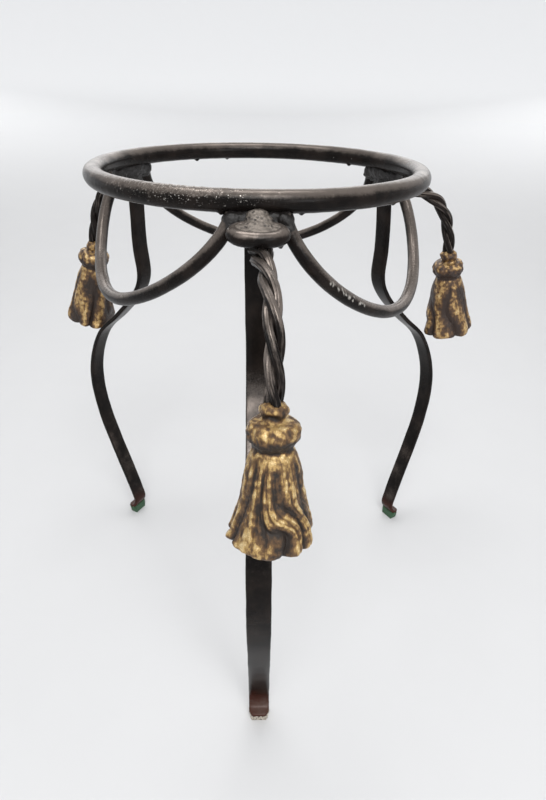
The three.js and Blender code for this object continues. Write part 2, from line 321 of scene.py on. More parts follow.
def feltMaterial(name):
    # Green felt, with pale glue and dirt along a frayed rim.
    look = feltLook
    material, flow, shader = newMaterial(name, Sheen_Weight=0.15, Sheen_Roughness=0.6)
    fibre = flow.noise(look["fibreSize"], detail=5, roughness=0.75, stretch=(1, 2.5, 1))
    rim = (flow.attribute("glue") + fibre * 0.5).between(0.7, 0.95)
    green = flow.mix(fibre.between(0.3, 0.7), look["deep"], look["green"])
    stain = flow.noise(look["dirtSize"], detail=4).between(0.36, 0.56)
    glue = flow.mix(stain, look["dirt"], look["glue"])
    plug(
        flow, shader,
        Base_Color=flow.mix(rim, green, glue),
        Roughness=0.95 - rim * 0.35,
        Normal=raised(flow, fibre, 0.3, 0.9),
    )
    return material


# worn shifts how much of each iron takes the brown-grey of wear and painted sheen.
darkIron = ironMaterial("darkIron", worn=-0.10, roughness=0.17)
wornSheenIron = ironMaterial("wornSheenIron", worn=0.03, roughness=0.19)
ropeIron = ironMaterial("ropeIron", worn=0.06, roughness=0.22, streaks=3.2)
jointMetal = weldMaterial("jointMetal", bareShare=-0.55)
moundMetal = weldMaterial("moundMetal", bareShare=0.18)
goldLeaf = goldMaterial("goldLeaf")
greenFelt = feltMaterial("greenFelt")
print("finishes made")


def smoothLine(points, spacing, perSpan=24):
    # A centripetal curve through the points, in millimetres like all lines here, evenly spaced.
    points = np.array(points, float)
    ends = np.vstack([2 * points[0] - points[1], points, 2 * points[-1] - points[-2]])
    share = np.linspace(0, 1, perSpan, endpoint=False)[:, None]
    dense = []
    for a, b, c, d in zip(ends, ends[1:], ends[2:], ends[3:]):
        first, middle, last = (max(math.sqrt(np.linalg.norm(s)), 1e-3) for s in (b - a, c - b, d - c))
        start = ((b - a) / first - (c - a) / (first + middle) + (c - b) / middle) * middle
        stop = ((c - b) / middle - (d - b) / (middle + last) + (d - c) / last) * middle
        bend = -3 * b + 3 * c - 2 * start - stop
        dense.append(b + start * share + bend * share**2 + (2 * b - 2 * c + start + stop) * share**3)
    dense.append(points[-1:])
    return evenLine(np.vstack(dense), spacing)


def runAlong(line):
    # Length from the line's start to each of its points.
    return np.concatenate([[0], np.cumsum(np.linalg.norm(np.diff(line, axis=0), axis=1))])


def evenLine(points, spacing):
    run = runAlong(points)
    steps = np.linspace(0, run[-1], max(2, round(run[-1] / spacing) + 1))
    return np.stack([np.interp(steps, run, points[:, i]) for i in range(3)], axis=1)


def bezierLine(points, spacing, samples=160):
    a, b, c, d = (np.array(point, float) for point in points)
    t = np.linspace(0, 1, samples)[:, None]
    curve = a * (1 - t) ** 3 + 3 * b * t * (1 - t) ** 2 + 3 * c * t**2 * (1 - t) + d * t**3
    return evenLine(curve, spacing)


def lineDirections(line):
    along = np.gradient(line, axis=0)
    return along / np.linalg.norm(along, axis=1, keepdims=True)


def carriedFrames(line, side):
    # Carries a sideways direction along the line without twisting it.
    along = lineDirections(line)
    side = np.array(side, float)
    sides = []
    for direction in along:
        side = side - direction * side.dot(direction)
        side = side / np.linalg.norm(side)
        sides.append(side)
    return along, np.array(sides), np.cross(along, np.array(sides))


def grain(points, size, seed):
    # Smooth noise about 0, different for each seed.
    shift = Vector((seed * 17.3, seed * 7.9, seed * 3.1))
    return np.array([noise.noise(Vector(p) / size + shift) for p in points])


def uneven(points, waves, seed, step=5):
    # Uneven skin left by the hammer or the melt. Each wave is (size, height).
    return sum(grain(points, size, seed + step * i) * height for i, (size, height) in enumerate(waves))


def drops(points, centres, sizes):
    # How far round drops of metal stand up at each point.
    height = np.zeros(len(points))
    for centre, (radius, tall) in zip(centres, sizes):
        near = ((points - centre) ** 2).sum(1) / radius**2
        height = np.maximum(height, tall * np.exp(-(near**1.4) * 1.2))
    return height


def spatterSize(lowest, highest):
    # Radius and height of one drop of weld spatter.
    return random.uniform(0.3, 0.6), random.uniform(lowest, highest)


def circleOutline(radius, sides):
    turn = np.linspace(0, 2 * math.pi, sides, endpoint=False)
    return radius * np.stack([np.cos(turn), np.sin(turn)], axis=1)


def barOutline(width, thickness, corner, perCorner=5):
    # A flat bar with rounded corners and a few points along its straight sides.
    points = []
    for x, y, start in [(1, 1, 0), (-1, 1, 90), (-1, -1, 180), (1, -1, 270)]:
        for turn in np.radians(np.linspace(start, start + 90, perCorner)):
            across = x * (width / 2 - corner) + corner * math.cos(turn)
            points.append((across, y * (thickness / 2 - corner) + corner * math.sin(turn)))
    rounded = np.array(points)
    sides = []
    for a, b in zip(rounded, np.roll(rounded, -1, axis=0)):
        straight = np.linalg.norm(b - a) > corner
        sides.append(np.linspace(a, b, 5)[:-1] if straight else a[None])
    return np.vstack(sides)


def gridFaces(grid):
    # Four-sided faces between neighbours in a grid of point numbers.
    corners = [grid[:-1, :-1], grid[1:, :-1], grid[1:, 1:], grid[:-1, 1:]]
    return [tuple(face) for face in np.stack(corners, axis=-1).reshape(-1, 4)]


def wrapped(grid):
    # Joins each row's end to its start.
    return np.hstack([grid, grid[:, :1]])


def sweep(line, frames, outline, closed=False):
    # Carries an outline, or one outline per point, along the line.
    _, side, lift = frames
    outlines = outline if outline.ndim == 3 else np.repeat(outline[None], len(line), axis=0)
    points = line[:, None] + outlines[..., :1] * side[:, None] + outlines[..., 1:] * lift[:, None]
    rings, sides = outlines.shape[:2]
    here = np.arange(rings * sides).reshape(rings, sides)
    if closed:
        faces = gridFaces(wrapped(np.vstack([here, here[:1]])))
    else:
        faces = gridFaces(wrapped(here)) + [tuple(here[0]), tuple(here[-1][::-1])]
    around = np.tile(np.linspace(0, 2 * math.pi, sides, endpoint=False), rings)
    return points.reshape(-1, 3), faces, {"along": np.repeat(runAlong(line), sides), "around": around}


def outwardsFrom(points, line, sides):
    # Unit direction of each swept point away from its middle line.
    away = points - np.repeat(line, sides, axis=0)
    return away / np.maximum(np.linalg.norm(away, axis=1, keepdims=True), 1e-9)


def turned(points, angle, first, second):
    # Turns the points from one axis towards another. The angle is in degrees.
    c, s = math.cos(math.radians(angle)), math.sin(math.radians(angle))
    result = points.copy()
    result[:, first] = points[:, first] * c - points[:, second] * s
    result[:, second] = points[:, first] * s + points[:, second] * c
    return result


def placed(points, angle):
    # From a station's own axes, X outwards, to the frame.
    return turned(points, angle, 0, 1) + (ringX, ringY, 0)


def stationSweep(line, side, outline, angle):
    # A sweep turned to its station, and each point's own direction outwards.
    points, faces, marks = sweep(line, carriedFrames(line, side), outline)
    away = turned(outwardsFrom(points, line, outline.shape[-2]), angle, 0, 1)
    return placed(points, angle), faces, marks, away


def addPiece(name, body, material, node):
    # The body is (points, faces, marks). Marks are values at the points, which finishes read.
    points, faces, marks = body
    mesh = bpy.data.meshes.new(name)
    mesh.from_pydata((np.asarray(points) * mm).tolist(), [], faces)
    for key, values in marks.items():
        mark = mesh.attributes.new(key, "FLOAT", "POINT")
        mark.data.foreach_set("value", np.asarray(values, np.float32))
    mesh.validate()
    cleaned = bmesh.new()
    cleaned.from_mesh(mesh)
    loose = [vertex for vertex in cleaned.verts if not vertex.link_faces]
    bmesh.ops.delete(cleaned, geom=loose, context="VERTS")
    bmesh.ops.recalc_face_normals(cleaned, faces=cleaned.faces)
    cleaned.to_mesh(mesh)
    cleaned.free()
    mesh.shade_smooth()
    piece = bpy.data.objects.new(name, mesh)
    bpy.context.scene.collection.objects.link(piece)
    mesh.materials.append(material)
    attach(piece, stand["body"])
    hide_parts(node)
    return piece


def lumpMesh(lumps, voxel, smoothing):
    # Melts overlapping oval lumps into one skin. Each lump is (middle, half sizes).
    made = bmesh.new()
    for middle, size in lumps:
        oval = Matrix.Translation(Vector(middle) * mm) @ Matrix.Diagonal((*(Vector(size) * mm), 1))
        bmesh.ops.create_icosphere(made, subdivisions=4, radius=1, matrix=oval)
    mesh = bpy.data.meshes.new("lumps")
    made.to_mesh(mesh)
    made.free()
    holder = bpy.data.objects.new("lumps", mesh)
    bpy.context.scene.collection.objects.link(holder)
    melt = holder.modifiers.new("melt", "REMESH")
    melt.mode = "VOXEL"
    melt.voxel_size = voxel * mm
    relax = holder.modifiers.new("relax", "SMOOTH")
    relax.factor = 0.6
    relax.iterations = smoothing
    final = holder.evaluated_get(bpy.context.evaluated_depsgraph_get()).to_mesh()
    points = np.array([v.co for v in final.vertices]) / mm
    normals = np.array([v.normal for v in final.vertices])
    faces = [tuple(f.vertices) for f in final.polygons]
    bpy.data.objects.remove(holder)
    bpy.data.meshes.remove(mesh)
    return points, normals, faces


ringShape = {
    "sections": 1060,
    "sides": 52,
    "spatterFrom": -142,     # the rough stretch of weld spatter, in degrees round the ring
    "spatterTo": -92,
    "spatterMiddle": -112,
    "spatterCount": 330,
    "spatterAround": (48, 28),  # middle and spread round the bar, in degrees
    "spatterHeight": (0.06, 0.2),
    "strayCount": 130,
    "strayReach": 13,        # either side of a leg, in degrees
    "strayOuter": (-95, 60), # round the bar, on its outer and its inner side
    "strayInner": (180, 300),
    "strayOuterShare": 0.6,
    "glintSpread": 22,     # bare bright specks among the spatter
    "drips": [(-100, 1.0), (-78, 0.8), (-83, 0.9), (118, 1.1), (104, 0.9),
              (47, 1.0), (-38, 1.0), (-45, 0.8), (-32, 0.9)],
    "forged": [(22, 0.14), (3.2, 0.05)],
}


def ringPoint(turn, around):
    # In degrees: turn goes round the ring, and around goes from its outer side over the top.
    turn, around = math.radians(turn), math.radians(around)
    out = ringRadius + barRadius * math.cos(around)
    height = ringHeight + barRadius * math.sin(around)
    return np.array([out * math.cos(turn) + ringX, out * math.sin(turn) + ringY, height])


def ringSpatter():
    # Where drops of weld metal stuck to the ring, and their sizes.
    shape = ringShape
    centres, sizes = [], []
    for _ in range(shape["spatterCount"]):
        turn = random.triangular(shape["spatterFrom"], shape["spatterTo"], shape["spatterMiddle"])
        centres.append(ringPoint(turn, random.gauss(*shape["spatterAround"])))
        sizes.append(spatterSize(*shape["spatterHeight"]))
    for _ in range(shape["strayCount"]):
        turn = random.gauss(random.choice(stations)["angle"], shape["strayReach"])
        outer = random.random() < shape["strayOuterShare"]
        around = random.uniform(*(shape["strayOuter"] if outer else shape["strayInner"]))
        centres.append(ringPoint(turn, around))
        sizes.append(spatterSize(*shape["spatterHeight"]))
    return centres, sizes


def buildRing():
    shape = ringShape
    turns = np.linspace(0, 2 * math.pi, shape["sections"], endpoint=False)
    spokes = np.stack([np.cos(turns), np.sin(turns), 0 * turns], axis=1)
    line = spokes * ringRadius + (ringX, ringY, ringHeight)
    up = np.repeat([[0.0, 0.0, 1.0]], len(line), axis=0)
    frames = (np.cross(up, spokes), spokes, up)
    points, faces, marks = sweep(line, frames, circleOutline(barRadius, shape["sides"]), closed=True)
    away = outwardsFrom(points, line, shape["sides"])
    rough = drops(points, *ringSpatter())
    hanging = [ringPoint(turn, -90 + random.uniform(-25, 25)) for turn, _ in shape["drips"]]
    drips = drops(points, hanging, [(1.25 * size, 1.0 * size) for _, size in shape["drips"]])
    points = points + away * (rough + drips + uneven(points, shape["forged"], 1, step=1))[:, None]
    marks["spatter"] = np.clip(rough / 0.2, 0, 1)
    # Tall spatter drops show bare metal, painted bright as glints.
    marks["bare"] = np.clip((rough - 0.1) / 0.1, 0, 1) * 0.5
    off = np.degrees(np.repeat(turns, shape["sides"])) - shape["spatterMiddle"]
    # Painted glints gather near the middle of the spatter, on the bar's outer and upper side.
    near = np.exp(-((((off + 180) % 360 - 180) / shape["glintSpread"]) ** 2))
    marks["glintSpots"] = near * np.clip(np.sin(marks["around"] + 0.5), 0, 1)
    addPiece("seatRing", (points, faces, marks), darkIron, "top_ring")


buildRing()
print("seat ring made")


legShape = {
    "width": 11.6,
    "thickness": 2.8,
    "edge": 0.75,
    "knee": 0.735,       # where the straight shank turns outwards, as a share of the height
    "shoulder": 0.415,
    "shoulderOut": 62.2,
    "ankleOut": 36,
    "toeOut": 44.5,
    "toeRound": 4.2,
    "spacing": 1.1,      # between sections
    "forged": [(9, 0.10), (2.4, 0.035)],
    "weldedEnd": 9,      # the rough length under the ring
    "padThickness": 2.6,
    "padWidth": 10.6,
    "padStart": 0.974,   # as a share of the leg's points
    "padSpacing": 0.35,
    "padRows": 7,
    "padAcross": 41,
}


def legLine(station, spacing=legShape["spacing"]):
    # The leg's middle line. X runs outwards from the middle of the ring.
    shape = legShape
    knee = ringHeight * shape["knee"]
    shoulder = ringHeight * shape["shoulder"]
    rise = knee - shoulder
    out, ankle, pad = shape["shoulderOut"], shape["ankleOut"], shape["padThickness"]
    top = ringUnderside - stand["gap"] - 0.3
    outline = [
        (1.4, top),
        (3.4, ringHeight * 0.91),
        (4.6, ringHeight * 0.82),
        (4, knee + 3),
        (10, knee - 9),
        (out * 0.46, shoulder + rise * 0.69),
        (out * 0.75, shoulder + rise * 0.51),
        (out * 0.945, shoulder + rise * 0.24),
        (out, shoulder),
        (out * 0.955, shoulder * 0.78),
        (out * 0.845, shoulder * 0.57),
        (ankle + (out - ankle) * 0.32, shoulder * 0.36),
        (ankle + 2.4, shoulder * 0.2),
        (ankle, pad + 10),
        (ankle + 2.9, pad + 4.2),
        (shape["toeOut"], pad + 1.9),
    ]
    points = []
    for away, height in outline:
        low = 1 - height / ringHeight
        outset = station["outset"] if height < top else 0
        points.append((ringRadius + away + outset + station["splay"] * low, station["lean"] * low, height))
    return smoothLine(points, spacing)


def legOutAt(line, height):
    return line[np.abs(line[:, 2] - height) < 1][:, 0].max()


def toeWidth(fromToe):
    # The toe is rounded off in its last few millimetres.
    return np.sqrt(1 - np.clip(1 - fromToe / legShape["toeRound"], 0, 1) ** 2 * 0.62)


def buildLeg(station, seed):
    shape = legShape
    node = f"leg_{station['name']}"
    line = legLine(station)
    outline = barOutline(shape["width"], shape["thickness"], shape["edge"])
    share = np.linspace(0, 1, len(line))
    narrowing = 1 + 0.012 * np.sin(share * 21 + seed) + 0.008 * np.sin(share * 47 + seed * 2)
    fromTop = share * len(line) * shape["spacing"]
    toe = toeWidth((1 - share) * len(line) * shape["spacing"])
    outlines = np.repeat(outline[None], len(line), axis=0)
    outlines[..., 0] *= (narrowing * toe)[:, None]
    outlines[..., 1] *= (1 + 0.03 * np.sin(share * 33 + seed))[:, None]
    points, faces, marks, away = stationSweep(line, (0, 1, 0), outlines, station["angle"])
    points = points + away * uneven(points, shape["forged"], seed)[:, None]
    marks["spatter"] = np.repeat(np.clip(1 - fromTop / shape["weldedEnd"], 0, 1), len(outline)) * 0.8
    addPiece(f"leg.{station['name']}", (points, faces, marks), darkIron, node)


def padPoints(station, under, middle, seed):
    # Rows of points from the toe's underside down to the floor, with a frayed, lumpy rim.
    shape = legShape
    rows, last = shape["padRows"], len(under) - 1
    points, glue = [], []
    for i, (x, height) in enumerate(under):
        narrow = max(0, 1 - (under[-1, 0] - x) / (shape["toeRound"] * 0.75))
        half = shape["padWidth"] / 2 * math.sqrt(1 - narrow**2 * 0.45)
        for row in range(rows + 1):
            level = row / rows
            for share in np.linspace(-1, 1, shape["padAcross"]):
                atToe = (i / last) ** 16
                edge = max(abs(share) ** 8, atToe)
                lump = noise.noise(Vector((x * 0.8, share * 4.2, level * 1.4 + seed * 9)))
                fray = level * (0.3 + 1.3 * lump)
                rise = edge * level**2 * (1.0 + 2.6 * lump)
                y = middle + share * (half + edge * fray)
                points.append((x + atToe * fray, y, height * level + max(rise, 0)))
                glued = 1.0 if level > 0 or edge > 0.6 else 0.0
                glue.append(glued if station["name"] == "front" else level**3 * 0.35)
    return np.array(points), glue


def buildPad(station, seed):
    shape = legShape
    line = legLine(station, shape["padSpacing"])
    steps = line[int(len(line) * shape["padStart"]):]
    along = lineDirections(steps)
    away = shape["thickness"] / 2 + stand["weldGap"] * 0.4
    under = np.stack([steps[:, 0] + along[:, 2] * away, steps[:, 2] - along[:, 0] * away], axis=1)
    points, glue = padPoints(station, under, steps[-1, 1], seed)
    here = np.arange(len(points)).reshape(len(under), shape["padRows"] + 1, shape["padAcross"])
    faces = []
    for side in (here[:, 0], here[:, -1], here[:, :, 0], here[:, :, -1], here[0], here[-1]):
        faces += gridFaces(side)
    points = placed(points, station["angle"])
    points[:, 2] = np.maximum(points[:, 2], 0)
    body = (points, faces, {"glue": glue})
    piece = addPiece(f"pad.{station['name']}", body, greenFelt, f"pad_{station['name']}")


for seed, station in enumerate(stations, 1):
    buildLeg(station, seed)
    buildPad(station, seed)
print("legs and pads made")


swagShape = {
    "radius": 3.175,
    "drop": 51,
    "endAngle": 7.2,     # from the leg, in degrees
    "sides": 32,
    "rough": "front_right",
    "roughFrom": 0.165,  # the stretch of that swag that caught weld spatter, as a share of its length
    "roughTo": 0.285,
    "roughCount": 70,
    "roughHeight": (0.08, 0.24),
    "forged": [(12, 0.10), (2.2, 0.035)],
}


def swagLine(swag, spacing=0.8):
    # Half of the U as a curve of turn and height, then both halves round the ring.
    shape = swagShape
    end = 60 - shape["endAngle"]
    top = ringUnderside - stand["gap"] - shape["radius"] * 0.4
    low = top - shape["drop"] - swag["drop"]
    steep = (end * 0.9, low + shape["drop"] * 0.5, 0)
    bend = bezierLine([(0, low, 0), (end * 0.43, low, 0), steep, (end, top, 0)], 1)
    half = []
    for turn, height, _ in bend[::4].tolist() + [bend[-1].tolist()]:
        share = turn / end
        half.append((turn, ringRadius + 1.3 + 10 * share**2 - 8.5 * share**14, height))
    points = []
    for side, part in ((-1, half[:0:-1]), (1, half)):
        for turn, radius, height in part:
            angle = math.radians(side * turn + swag["turn"] * (1 - (turn / end) ** 2))
            points.append((radius * math.cos(angle), radius * math.sin(angle), height))
    return smoothLine(points, spacing)


def swagSpatter(line):
    # Drops of weld metal on the outer and upper side of the swag.
    shape = swagShape
    centres, sizes = [], []
    for _ in range(shape["roughCount"]):
        spot = line[int(random.uniform(shape["roughFrom"], shape["roughTo"]) * len(line))]
        outwards = Vector((spot[0] - ringX, spot[1] - ringY, 0)).normalized()
        aim = (outwards + Vector((0, 0, random.uniform(0.1, 0.8)))).normalized()
        centres.append(spot + np.array(aim) * shape["radius"])
        sizes.append(spatterSize(*shape["roughHeight"]))
    return centres, sizes


def buildSwag(swag, seed):
    shape = swagShape
    line = swagLine(swag)
    line = np.vstack([line[0] + (line[0] - line[1]) * 1.6, line, line[-1] + (line[-1] - line[-2]) * 1.6])
    outline = circleOutline(shape["radius"], shape["sides"])
    points, faces, marks, away = stationSweep(line, (0, 0, 1), outline, swag["angle"])
    rough = np.zeros(len(points))
    if swag["name"] == shape["rough"]:
        rough = drops(points, *swagSpatter(placed(line, swag["angle"])))
        # Tall spatter drops show bare metal, painted bright as glints.
        marks["bare"] = np.clip((rough - 0.04) / 0.1, 0, 1)
    points = points + away * (rough + uneven(points, shape["forged"], seed + 20))[:, None]
    marks["spatter"] = np.clip(rough / 0.2, 0, 1)
    addPiece(f"swag.{swag['name']}", (points, faces, marks), wornSheenIron, f"swag_{swag['name']}")


for seed, swag in enumerate(swags):
    buildSwag(swag, seed)
print("swags made")


rosetteShape = {
    "rod": 3.175,
    "width": 25.6,
    "depth": 17.6,
    "droop": 0.14,       # the loop falls this much for each millimetre outwards
    "standOff": 2.4,
    "sides": 36,
    "drip": (1.1, 1.3),  # a frozen drop under the loop: radius and height
    "dripAt": 0.72,      # as a share of the loop
    "forged": [(6, 0.22), (1.8, 0.06)],
    "pits": 46,
    "heaped": [(3.4, 0.30), (1.1, 0.14)],
}
rosetteHeight = ringUnderside - rosetteShape["rod"] - 1.3
rosetteBack = ringRadius + legShape["thickness"] / 2 + rosetteShape["rod"] + rosetteShape["standOff"]


def rosetteLine(station, spacing=0.55):
    shape = rosetteShape
    bend = shape["rod"] + stand["weldGap"]
    eyeWidth = shape["width"] / 2 - shape["rod"] - bend
    eyeDepth = shape["depth"] / 2 - shape["rod"] - bend
    points = []
    for turn in np.radians(np.linspace(-152, 152, 15)):
        normal = Vector((eyeWidth * math.cos(turn), eyeDepth * math.sin(turn))).normalized()
        out = eyeDepth * (1 + math.cos(turn)) + bend * (1 + normal.x)
        height = rosetteHeight + station["lift"] - shape["droop"] * out
        points.append((rosetteBack + out, eyeWidth * math.sin(turn) + bend * normal.y, height))
    return smoothLine(points, spacing)


def buildRosette(station, seed):
    shape = rosetteShape
    node = f"rosette_{station['name']}"
    line = rosetteLine(station)
    outline = circleOutline(shape["rod"], shape["sides"])
    points, faces, marks, away = stationSweep(line, (0, 0, 1), outline, station["angle"])
    drip = line[int(len(line) * shape["dripAt"])] - (0, 0, shape["rod"])
    forged = uneven(points, shape["forged"], seed + 40)
    forged = forged + drops(points, placed(drip[None], station["angle"]), [shape["drip"]])
    points = points + away * forged[:, None]
    marks["spatter"] = np.clip(grain(points, 4, seed + 48) * 1.4, 0, 1)
    addPiece(f"rosette.{station['name']}", (points, faces, marks), darkIron, node)


def buildMound(station, seed):
    # Weld metal heaped in the eye of the loop and up to the ring.
    shape = rosetteShape
    node = f"rosette_fill_{station['name']}"
    middle = rosetteBack + shape["depth"] / 2 - shape["rod"]
    split = ringRadius + 5.6
    base = rosetteHeight + station["lift"]
    lumps = [
        ((middle - 0.6, 0, base), (shape["depth"] * 0.38, shape["width"] * 0.395, 2.8)),
        ((middle - 2.0, 0, base + 1.3), (5.6, shape["width"] * 0.29, 2.9)),
        ((split + 1.6, 0.3, ringUnderside - 1.4), (4.6, shape["width"] * 0.23, 3.2)),
        ((split - 0.4, -0.2, ringUnderside + 0.6), (3.4, shape["width"] * 0.19, 2.4)),
    ]
    for turn in np.radians(np.arange(0, 360, 30)):
        height = base + 0.2 - shape["droop"] * 3.5 * math.cos(turn)
        rim = (middle - 0.4 + 3.5 * math.cos(turn), 7.3 * math.sin(turn), height)
        lumps.append((rim, (3.3, 3.5, 2.4)))
    points, normals, faces = lumpMesh(lumps, voxel=0.34, smoothing=6)
    upper = points[normals[:, 2] > 0.45]
    centres, sizes = [], []
    for _ in range(shape["pits"]):
        centres.append(upper[random.randrange(len(upper))])
        sizes.append((random.uniform(0.35, 0.8), random.uniform(0.6, 1.0)))
    pits = drops(points, centres, sizes)
    heaped = uneven(points, shape["heaped"], seed + 60) - pits * 0.5
    points = placed(points + normals * heaped[:, None], station["angle"])
    body = (points, faces, {"pits": np.clip(pits, 0, 1)})
    addPiece(f"mound.{station['name']}", body, moundMetal, node)


jointShape = {
    "beads": 7,          # stray beads of weld metal round the joint
    "heaped": [(3.2, 0.6), (1.1, 0.25)],
}


def buildJoint(station, seed):
    # The weld that joins the leg, both swag ends and the ring.
    shape = jointShape
    node = f"joint_weld_{station['name']}"
    reach = (ringRadius + 2) * math.sin(math.radians(swagShape["endAngle"]))
    lumps = [
        ((ringRadius + 1.2, 0, ringUnderside - 1.2), (4.6, 13.4, 3.6)),
        ((ringRadius + 1.6, 0, ringUnderside - 2.8), (4.4, 10.5, 3.4)),
        ((ringRadius + 2.0, 0, ringUnderside - 6.4), (3.4, 6.6, 4.6)),
        ((ringRadius + 0.8, 0, ringUnderside - 9.4), (2.3, 6.1, 3.4)),
        ((ringRadius + 2.2, -reach, ringUnderside - 2.2), (4.5, 4.4, 4.0)),
        ((ringRadius + 2.2, reach, ringUnderside - 2.2), (4.5, 4.4, 4.0)),
        ((ringRadius + 3.4, -reach - 0.6, ringUnderside - 5.0), (3.9, 3.8, 2.8)),
        ((ringRadius + 3.4, reach + 0.6, ringUnderside - 5.0), (3.9, 3.8, 2.8)),
        ((ringRadius + 4.6, 0, ringUnderside - 3.0), (2.8, 8.2, 3.2)),
    ]
    for _ in range(shape["beads"]):
        side = random.choice((-1, 1))
        size = random.uniform(0.6, 1.3)
        out = ringRadius + random.uniform(-1.5, 5.5)
        across = side * random.uniform(5, 13.5)
        lumps.append(((out, across, ringUnderside - random.uniform(0.5, 6.5)), (size, size, size)))
    points, normals, faces = lumpMesh(lumps, voxel=0.4, smoothing=4)
    heaped = uneven(points, shape["heaped"], seed + 80)
    points = placed(points + normals * heaped[:, None], station["angle"])
    addPiece(f"jointWeld.{station['name']}", (points, faces, {}), jointMetal, node)


for seed, station in enumerate(stations):
    buildRosette(station, seed)
    buildMound(station, seed)
    buildJoint(station, seed)
print("rosettes and welds made")


ropeShape = {
    "strand": 1.5875,
    "count": 3,
    "pitch": 48,
    "drop": 56.6,        # from the middle of the ring bar to the top of the tassel
    "flutes": 8,
    "fluteDepth": 0.15,
    "plump": 1.27,       # the strands are squeezed together, so they fill the gaps
    "sides": 48,
    "spacing": 0.6,
    "fanReach": 9,       # the strands fan out where they are welded on
    "fan": 0.9,
}
tasselShape = {
    "length": 61,
    "ball": 20.4,
    "hem": 33.5,
    "standOff": 1,       # between the hem and the leg behind it
    "ballMiddle": 12.4,
    "spacing": 0.36,     # down the profile
    "sides": 288,
    "fineFolds": 24,
    "hairFolds": 50,
    "flipAt": -74,       # one fold kicks out at the hem, in degrees
    "flipWidth": 46,
    "creaseAt": -8,      # the fold of the wrapped knob
    "creaseWidth": 34,
}


def hang(station):
    # Where a rope ends in the tassel, and the tassel's own axis.
    tilt = math.radians(station["tilt"])
    axis = np.array([math.sin(tilt), 0, -math.cos(tilt)])
    knobHeight = ringHeight - ropeShape["drop"] - station["drop"]
    hemHeight = knobHeight + tasselShape["length"] * axis[2]
    face = legOutAt(legLine(station), hemHeight) + legShape["thickness"] / 2
    hemOut = face + tasselShape["hem"] / 2 + tasselShape["standOff"] + station["clear"]
    return np.array([hemOut - tasselShape["length"] * axis[0], station["swing"], knobHeight]), axis


def ropeLine(station, standOff):
    # The rope's middle line, from under the rosette outwards and down into the tassel.
    droop = rosetteShape["droop"] * rosetteShape["depth"] / 2
    underLoop = rosetteHeight + station["lift"] - rosetteShape["rod"] - droop
    start = np.array([rosetteBack + 1.5, 0, underLoop - standOff - stand["gap"]])
    knobTop, axis = hang(station)
    end = knobTop + axis * 1.2
    reach = knobTop[0] - start[0]
    bow = (start[0] + reach * 0.66, station["swing"] * 0.9, start[2] - 0.5 + station["lift"])
    return bezierLine([start, bow, end - axis * reach * 0.62, end], ropeShape["spacing"])


def buildRope(station, seed):
    shape = ropeShape
    radius = shape["strand"]
    lay = math.atan(2 * math.pi * radius * 2 * 0.65 / shape["pitch"])
    helix = (radius * 2 / math.cos(lay) + stand["weldGap"]) / math.sqrt(3)
    rope = ropeLine(station, helix * 1.1 + radius)
    along, run = lineDirections(rope), runAlong(rope)
    side = np.array([0, 1, 0]) - along * along[:, 1:2]
    side /= np.linalg.norm(side, axis=1, keepdims=True)
    lift = np.cross(along, side)
    fan = np.exp(-((run / shape["fanReach"]) ** 2))
    around = np.linspace(0, 2 * math.pi, shape["sides"], endpoint=False)
    for i, letter in enumerate("abc"[:shape["count"]]):
        turn = math.radians(30 + 360 / shape["count"] * i) - 2 * math.pi * run / shape["pitch"]
        line = rope + side * (helix * (1 + shape["fan"] * fan) * np.cos(turn))[:, None]
        line = line + lift * (helix * (1 + 0.1 * fan) * np.sin(turn))[:, None]
        into = rosetteHeight - line[0][2]
        line = np.vstack([line[0] + (-0.6, 0, into), line[0] + (-0.5, 0, into * 0.45), line[3:]])
        line = smoothLine(line[::2], shape["spacing"])
        flutes = 1 - shape["fluteDepth"] * np.abs(np.sin(around * shape["flutes"] / 2 + i)) ** 0.8
        fluted = circleOutline(radius * shape["plump"], shape["sides"]) * flutes[:, None]
        points, faces, marks, _ = stationSweep(line, (0, 1, 0), fluted, station["angle"])
        points = points + grain(points, 3, seed + i)[:, None] * 0.06
        node = f"strand_{station['name']}_{letter}"
        addPiece(node.replace("_", "."), (points, faces, marks), ropeIron, node)


def smoothStep(x, low, high):
    t = np.clip((x - low) / (high - low), 0, 1)
    return t * t * (3 - 2 * t)


def hump(turn, middle, width):
    # 1 in the middle direction and 0 beyond the width, all in degrees.
    off = np.abs((np.degrees(turn) - middle + 180) % 360 - 180) / width
    return np.where(off < 1, np.cos(off * math.pi / 2) ** 2, 0)


